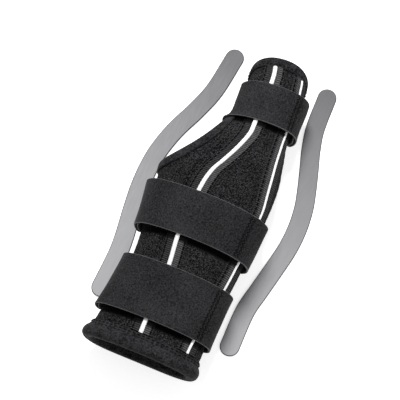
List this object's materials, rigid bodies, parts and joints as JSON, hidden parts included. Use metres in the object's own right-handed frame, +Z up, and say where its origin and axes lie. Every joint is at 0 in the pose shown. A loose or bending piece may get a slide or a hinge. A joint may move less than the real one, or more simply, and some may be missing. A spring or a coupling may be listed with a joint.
{
  "type": "thumb spica splint with removable metal stays",
  "caption": "Right-hand fabric sleeve for wrist and thumb, closed by wrap straps over piped stay pockets, with its flat metal stays laid beside it.",
  "frame": {"origin": "middle of the underside of the whole set, on the surface it lies on", "axes": "+Y along the sleeve from the cuff towards the thumb, +X towards the back of the hand, +Z up through the thumb side"},
  "size_m": [0.1214, 0.2268, 0.0548],
  "materials": {
    "sleeve_fabric": "matt black laminated pile fabric",
    "binding_fabric": "matt black stretch binding",
    "pocket_tape": "dark grey ribbed woven tape",
    "white_piping": "bright white piping",
    "strap_cloth": "black short-nap loop cloth",
    "stay_metal": "satin mill-finished strip"
  },
  "bodies": {
    "root": {"sleeve": "sleeve_fabric", "cuff_binding": "binding_fabric", "thumb_binding": "binding_fabric", "hand_binding": "binding_fabric", "palm_pocket": "pocket_tape", "back_pocket": "pocket_tape", "palm_piping": "white_piping", "back_piping": "white_piping", "wrist_strap": "strap_cloth", "hand_strap": "strap_cloth", "thumb_strap": "strap_cloth", "palm_stay": "stay_metal", "back_stay": "stay_metal"}
  },
  "joints": []
}
